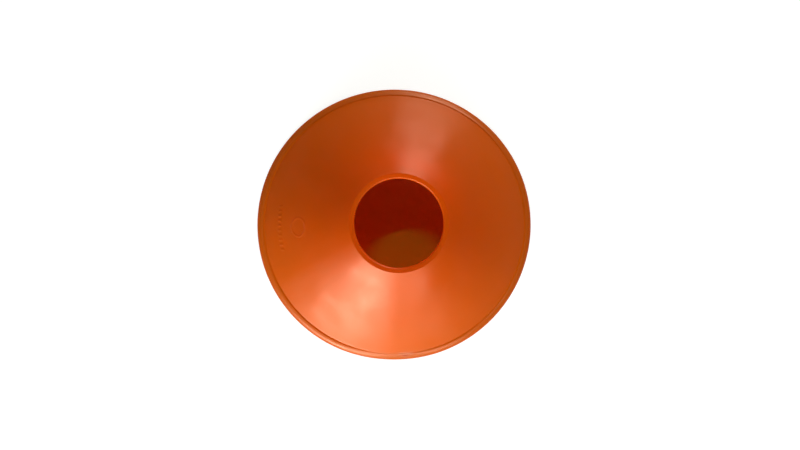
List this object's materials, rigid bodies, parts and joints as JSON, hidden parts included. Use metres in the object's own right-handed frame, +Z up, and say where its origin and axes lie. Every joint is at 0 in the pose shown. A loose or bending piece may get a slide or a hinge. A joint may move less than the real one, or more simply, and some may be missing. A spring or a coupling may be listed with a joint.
{
  "type": "marker cone",
  "caption": "Low open disc cone in soft orange plastic that marks a spot on a sports field, with a lipped hole in its top and a stepped foot that it stands on.",
  "frame": {"origin": "on the ground, on the axis of the cone, at the centre of its foot", "axes": "+Z up along the axis of the cone, from its foot to the hole in its top; the cone is round, so +X and +Y are any two square directions along the ground"},
  "size_m": [0.19, 0.19, 0.05],
  "materials": {
    "cone_plastic": "satin, slightly translucent soft polyethylene, as moulded"
  },
  "bodies": {
    "root": {"cone_shell": "cone_plastic"}
  },
  "joints": []
}
